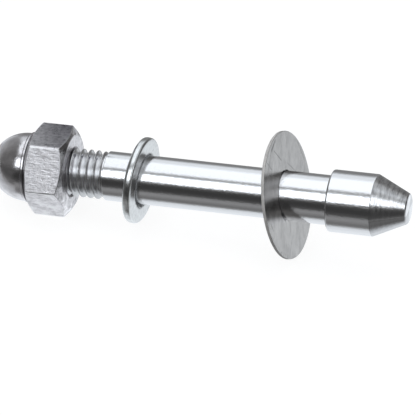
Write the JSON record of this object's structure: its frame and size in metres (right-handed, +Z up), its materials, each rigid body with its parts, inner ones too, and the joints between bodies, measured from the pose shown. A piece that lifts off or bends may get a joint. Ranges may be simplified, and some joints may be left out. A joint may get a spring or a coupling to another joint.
{
  "type": "dowel screw with cap nut",
  "caption": "Turned steel dowel pin with a threaded end, a thicker tapered head, a domed cap nut and a small and a large loose washer.",
  "frame": {"origin": "on the surface the part lies on, under the middle of its length", "axes": "+X along the part towards the pointed nose, the pin leaning nose up from it by 4.73 degrees; +Z up from the surface"},
  "size_m": [0.0692, 0.0206, 0.0199],
  "materials": {
    "turned_steel": "turned and bright zinc plated, near mirror, fine turning marks on the cone",
    "plated_nut": "bright zinc plated, hexagon finely brushed, dome polished",
    "plated_washer": "bright zinc plated, glossy rounded rim",
    "sheet_washer": "satin rolled sheet with fine scratches"
  },
  "bodies": {
    "pin": {"headed_pin": "turned_steel"},
    "nut": {"cap_nut": "plated_nut"},
    "near_washer": {"small_washer": "plated_washer"},
    "far_washer": {"large_washer": "sheet_washer"}
  },
  "joints": [
    {"name": "nut_off", "type": "slide", "parent": "pin", "child": "nut", "axis": [-0.9966, 0, -0.0825], "range_m": [0, 0.0125]},
    {"name": "small_washer_slide", "type": "slide", "parent": "pin", "child": "near_washer", "axis": [0.9966, 0, 0.0825], "range_m": [-0.0098, 0.0105]},
    {"name": "large_washer_slide", "type": "slide", "parent": "pin", "child": "far_washer", "axis": [0.9966, 0, 0.0825], "range_m": [-0.0105, 0.0059]}
  ]
}
